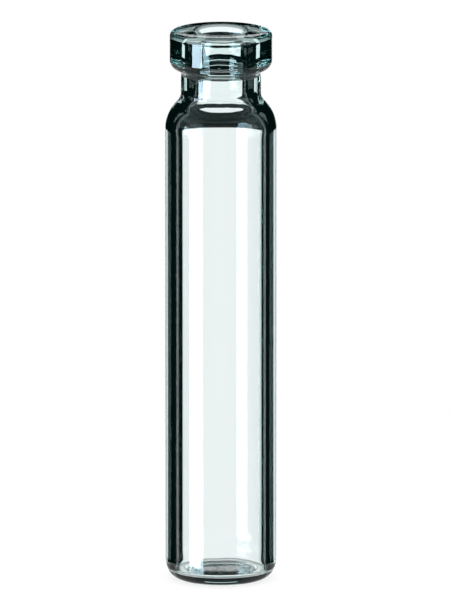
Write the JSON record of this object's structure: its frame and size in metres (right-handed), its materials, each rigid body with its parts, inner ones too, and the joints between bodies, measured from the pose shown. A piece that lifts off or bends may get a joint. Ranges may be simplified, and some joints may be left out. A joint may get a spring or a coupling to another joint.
{
  "type": "crimp-neck sample vial",
  "caption": "Clear glass sample vial: a straight round tube with a closed base, a rounded shoulder, a short neck and a rolled flange for a crimp cap.",
  "frame": {"origin": "middle of the standing ring, on the surface that the vial stands on", "axes": "+Z along the vial's axis, out of the mouth; X and Y are free, because the vial is round"},
  "size_m": [0.0082, 0.0082, 0.0405],
  "materials": {
    "glass": "clear, fire-polished, faint green tint in thick sections"
  },
  "bodies": {
    "root": {"vial": "glass"}
  },
  "joints": []
}
